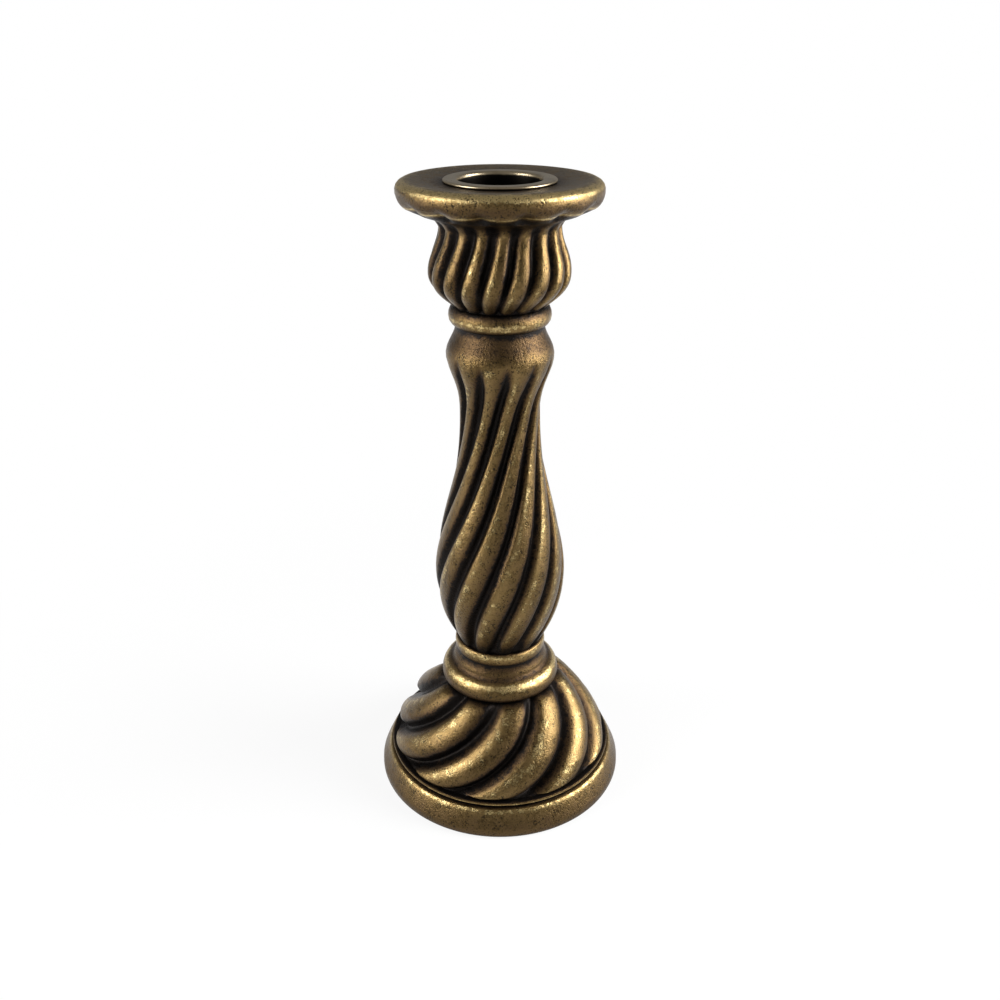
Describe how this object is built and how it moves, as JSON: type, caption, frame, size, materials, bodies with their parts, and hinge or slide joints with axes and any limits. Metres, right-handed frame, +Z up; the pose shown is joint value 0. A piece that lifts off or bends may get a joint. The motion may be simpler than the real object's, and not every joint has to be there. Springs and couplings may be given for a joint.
{
  "type": "spiral candle holder",
  "caption": "Candle holder with a round domed foot, a stem and a cup covered in twisted ribs, a round drip pan, and a loose metal socket that holds one taper candle.",
  "frame": {"origin": "middle of the face it rests on", "axes": "+Z up along the candle's axis, the pictured side faces -Y"},
  "size_m": [0.0832, 0.0832, 0.2],
  "materials": {
    "antique_gold": "cast resin painted black-brown and dry-brushed with antique gold, worn brighter on the ridges",
    "socket_metal": "drawn sheet metal with a dull antique brass plating",
    "zinc_steel": "zinc-plated steel",
    "felt": "black pressed felt"
  },
  "bodies": {
    "holder": {"foot": "antique_gold", "foot_collar": "antique_gold", "stem": "antique_gold", "neck_ring": "antique_gold", "cup": "antique_gold", "tie_rod": "zinc_steel", "top_washer": "zinc_steel", "top_nut": "zinc_steel", "bottom_washer": "zinc_steel", "bottom_nut": "zinc_steel", "foot_pad": "felt"},
    "socket": {"candle_socket": "socket_metal"}
  },
  "joints": [
    {"name": "socket_lift", "type": "slide", "parent": "holder", "child": "socket", "axis": [0, 0, 1], "range_m": [0, 0.03]}
  ]
}
